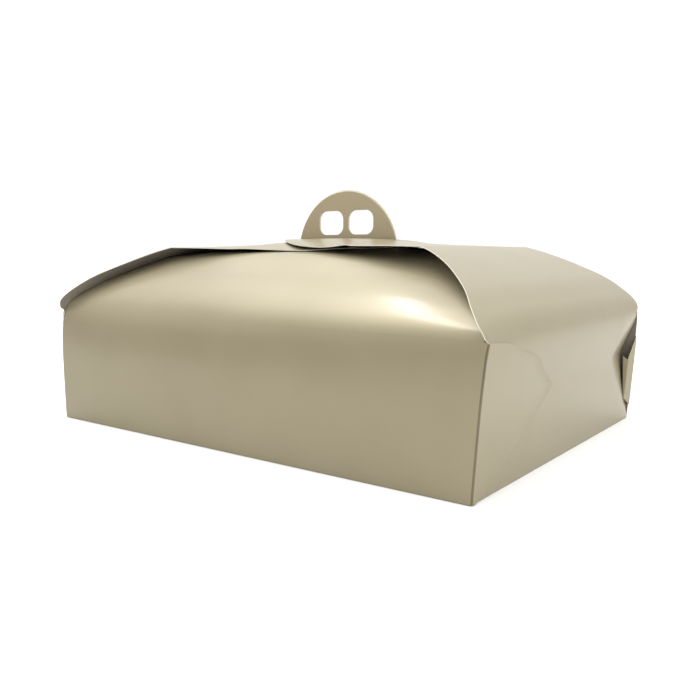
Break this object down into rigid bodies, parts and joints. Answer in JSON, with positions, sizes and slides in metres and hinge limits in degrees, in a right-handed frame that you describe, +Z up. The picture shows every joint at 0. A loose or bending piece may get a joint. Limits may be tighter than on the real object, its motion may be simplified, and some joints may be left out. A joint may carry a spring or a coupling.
{
  "type": "cake box",
  "caption": "Folded board cake carton with a domed lid, slotted tongues and a half-moon carrying handle with finger holes.",
  "frame": {"origin": "middle of the base's underside, on the surface the box stands on", "axes": "+X along the long side, towards the end whose tongue lies on top; +Y from the front wall to the back wall; +Z up"},
  "size_m": [0.4121, 0.296, 0.1978],
  "materials": {
    "laminated_board": "satin champagne metallic laminate on folding boxboard, cream cut edges, grey-beige inside"
  },
  "bodies": {
    "box": {"carton": "laminated_board"},
    "top_flap": {"slotted_top_flap": "laminated_board"}
  },
  "joints": [
    {"name": "top_flap_fold", "type": "hinge", "parent": "box", "child": "top_flap", "pos_m": [0.127, 0, 0.1496], "axis": [0, 1, 0], "range_deg": [0, 130]}
  ]
}
